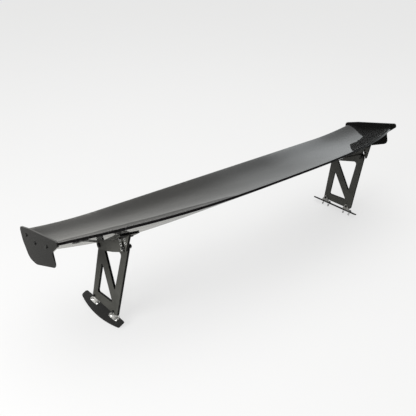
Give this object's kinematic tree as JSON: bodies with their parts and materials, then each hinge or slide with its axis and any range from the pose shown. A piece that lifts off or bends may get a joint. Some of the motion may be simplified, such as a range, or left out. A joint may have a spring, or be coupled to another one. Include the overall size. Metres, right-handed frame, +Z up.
{
  "type": "racing rear wing",
  "caption": "Arched carbon rear wing blade with end plates on two N-shaped stands with canted feet; the blade's pitch is set about two pivot bolts.",
  "frame": {"origin": "under the middle of the wing, on the level of the feet's lowest edges, at the middle of the overall front-to-back and side-to-side size", "axes": "+X to the car's right along the span, +Y towards the front of the car, +Z up"},
  "size_m": [1.6166, 0.3708, 0.412],
  "materials": {
    "carbon_laminate": "clear-coated woven carbon laminate",
    "inner_carbon": "bare carbon laminate",
    "insert_alloy": "as machined",
    "black_plate": "satin black coated",
    "black_bracket": "black anodised",
    "foot_black": "matt black coated",
    "foam_rubber": "closed-cell rubber sheet",
    "bright_alloy": "brushed",
    "zinc_steel": "bright zinc plated",
    "black_steel": "black oxide"
  },
  "bodies": {
    "left_stand": {"left_stand_plate": "black_plate", "left_foot_plate": "foot_black", "left_foot_gasket": "foam_rubber", "left_front_foot_bracket": "bright_alloy", "left_rear_foot_bracket": "bright_alloy", "left_foot_bolts": "zinc_steel", "left_leg_bolts": "black_steel", "left_leg_nuts": "black_steel", "left_pivot_bolt": "black_steel", "left_pivot_nut": "black_steel", "left_pivot_spacer": "black_steel", "left_pivot_washers": "black_steel", "left_lock_bolt": "black_steel", "left_lock_nut": "black_steel"},
    "wing": {"centre_rib": "inner_carbon", "front_spar": "inner_carbon", "left_blade_bracket": "black_bracket", "left_bracket_screws": "black_steel", "left_end_plate": "carbon_laminate", "left_end_plate_bolts": "black_steel", "left_front_insert": "insert_alloy", "left_inner_rib": "inner_carbon", "left_middle_rib": "inner_carbon", "left_outer_rib": "inner_carbon", "left_rear_insert": "insert_alloy", "left_tip_rib": "inner_carbon", "lower_skin": "carbon_laminate", "rear_spar": "inner_carbon", "right_blade_bracket": "black_bracket", "right_bracket_screws": "black_steel", "right_end_plate": "carbon_laminate", "right_end_plate_bolts": "black_steel", "right_front_insert": "insert_alloy", "right_inner_rib": "inner_carbon", "right_middle_rib": "inner_carbon", "right_outer_rib": "inner_carbon", "right_rear_insert": "insert_alloy", "right_tip_rib": "inner_carbon", "upper_skin": "carbon_laminate"},
    "right_stand": {"right_stand_plate": "black_plate", "right_foot_plate": "foot_black", "right_foot_gasket": "foam_rubber", "right_front_foot_bracket": "bright_alloy", "right_rear_foot_bracket": "bright_alloy", "right_foot_bolts": "zinc_steel", "right_leg_bolts": "black_steel", "right_leg_nuts": "black_steel", "right_pivot_bolt": "black_steel", "right_pivot_nut": "black_steel", "right_pivot_spacer": "black_steel", "right_pivot_washers": "black_steel", "right_lock_bolt": "black_steel", "right_lock_nut": "black_steel"}
  },
  "joints": [
    {"name": "wing_pitch", "type": "hinge", "parent": "left_stand", "child": "wing", "pos_m": [0, 0.063, 0.25104], "axis": [-1, 0, 0], "range_deg": [-5, 5]},
    {"name": "right_stand_follow", "type": "hinge", "parent": "wing", "child": "right_stand", "pos_m": [0, 0.063, 0.25104], "axis": [-1, 0, 0], "range_deg": [-5, 5]}
  ],
  "couplings": [
    {"joint": "right_stand_follow", "follows": "wing_pitch", "ratio": -1}
  ]
}
